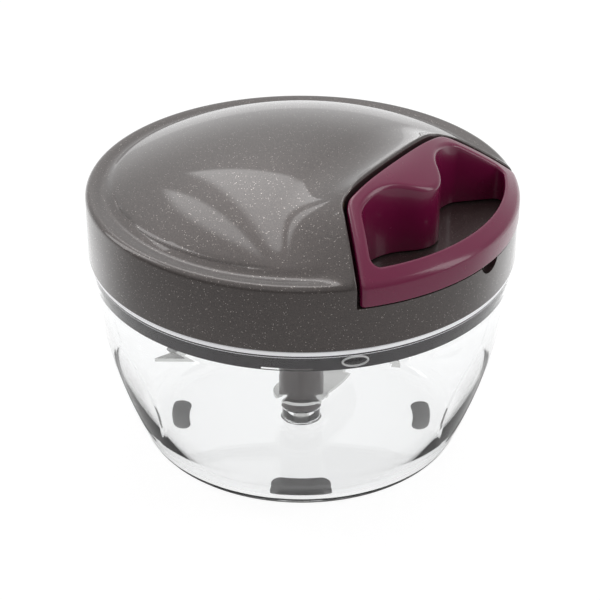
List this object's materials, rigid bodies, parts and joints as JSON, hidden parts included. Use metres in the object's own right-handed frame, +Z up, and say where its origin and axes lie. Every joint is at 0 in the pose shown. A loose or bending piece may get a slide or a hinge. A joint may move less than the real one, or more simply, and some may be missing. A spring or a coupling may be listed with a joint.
{
  "type": "pull-cord food chopper",
  "caption": "Hand food chopper: clear bowl with blades on a stem, domed twist-on lid with a recoil cord drive, and a two-finger pull handle docked in the lid.",
  "frame": {"origin": "centre of the base, on the surface that the foot pads stand on", "axes": "+Z up along the axis of the bowl, blades and spool; +X the way the handle is pulled"},
  "size_m": [0.1303, 0.13, 0.1025],
  "materials": {
    "clear_plastic": "clear polished",
    "lid_plastic": "dark grey gloss with fine metal flake",
    "base_plastic": "dark grey satin",
    "handle_plastic": "burgundy satin gloss",
    "pad_rubber": "matt",
    "seal_rubber": "translucent grey",
    "stem_plastic": "dark grey satin",
    "acetal": "natural white, satin",
    "blade_steel": "ground",
    "pin_steel": "turned",
    "spring_steel": "blued strip",
    "screw_steel": "zinc plated",
    "brass": "turned",
    "cord_nylon": "braided"
  },
  "bodies": {
    "bowl": {"bowl": "clear_plastic", "collar_ring": "base_plastic", "bowl_pin": "pin_steel", "foot_pads": "pad_rubber"},
    "seal": {"lid_seal": "seal_rubber"},
    "lid": {"lid_cover": "lid_plastic", "lid_base": "base_plastic", "lid_screws": "screw_steel", "cord_eyelet": "brass", "pull_cord": "cord_nylon", "recoil_spring": "spring_steel", "spool_axle": "pin_steel", "axle_washer": "screw_steel", "axle_screw": "screw_steel"},
    "handle": {"pull_handle": "handle_plastic", "cord_ferrule": "brass"},
    "spool": {"spool": "acetal", "cord_winding": "cord_nylon", "spring_cover": "acetal", "pawl_pins": "pin_steel"},
    "hub": {"drive_hub": "acetal"},
    "pawl_1": {"pawl_1": "acetal"},
    "pawl_2": {"pawl_2": "acetal"},
    "blades": {"blade_stem": "stem_plastic", "lower_blade": "blade_steel", "middle_blade": "blade_steel", "upper_blade": "blade_steel"}
  },
  "joints": [
    {"name": "lid_lift", "type": "slide", "parent": "bowl", "child": "seal", "axis": [0, 0, 1], "range_m": [0, 0.12]},
    {"name": "lid_twist", "type": "hinge", "parent": "seal", "child": "lid", "pos_m": [0, 0, 0.065], "axis": [0, 0, 1], "range_deg": [0, 20]},
    {"name": "handle_pull", "type": "slide", "parent": "lid", "child": "handle", "axis": [1, 0, 0], "range_m": [0, 0.32], "stiffness_N_per_m": 12, "springref_m": -0.15, "deforming": ["pull_cord"]},
    {"name": "spool_spin", "type": "hinge", "parent": "lid", "child": "spool", "pos_m": [0, 0, 0.084], "axis": [0, 0, 1], "range_deg": [0, 920], "deforming": ["recoil_spring"]},
    {"name": "hub_spin", "type": "hinge", "parent": "lid", "child": "hub", "pos_m": [0, 0, 0.072], "axis": [0, 0, 1], "range_deg": [0, 920]},
    {"name": "blade_spin", "type": "hinge", "parent": "bowl", "child": "blades", "pos_m": [0, 0, 0.03], "axis": [0, 0, 1], "range_deg": [0, 920]},
    {"name": "pawl_1_swing", "type": "hinge", "parent": "spool", "child": "pawl_1", "pos_m": [0.015, 0, 0.077], "axis": [0, 0, -1], "range_deg": [0, 12], "stiffness_Nm_per_rad": 0.0005},
    {"name": "pawl_2_swing", "type": "hinge", "parent": "spool", "child": "pawl_2", "pos_m": [-0.015, 0, 0.077], "axis": [0, 0, -1], "range_deg": [0, 12], "stiffness_Nm_per_rad": 0.0005}
  ],
  "couplings": [
    {"joint": "spool_spin", "follows": "handle_pull", "rad_per_m": 50},
    {"joint": "hub_spin", "follows": "handle_pull", "rad_per_m": 50},
    {"joint": "blade_spin", "follows": "handle_pull", "rad_per_m": 50}
  ]
}
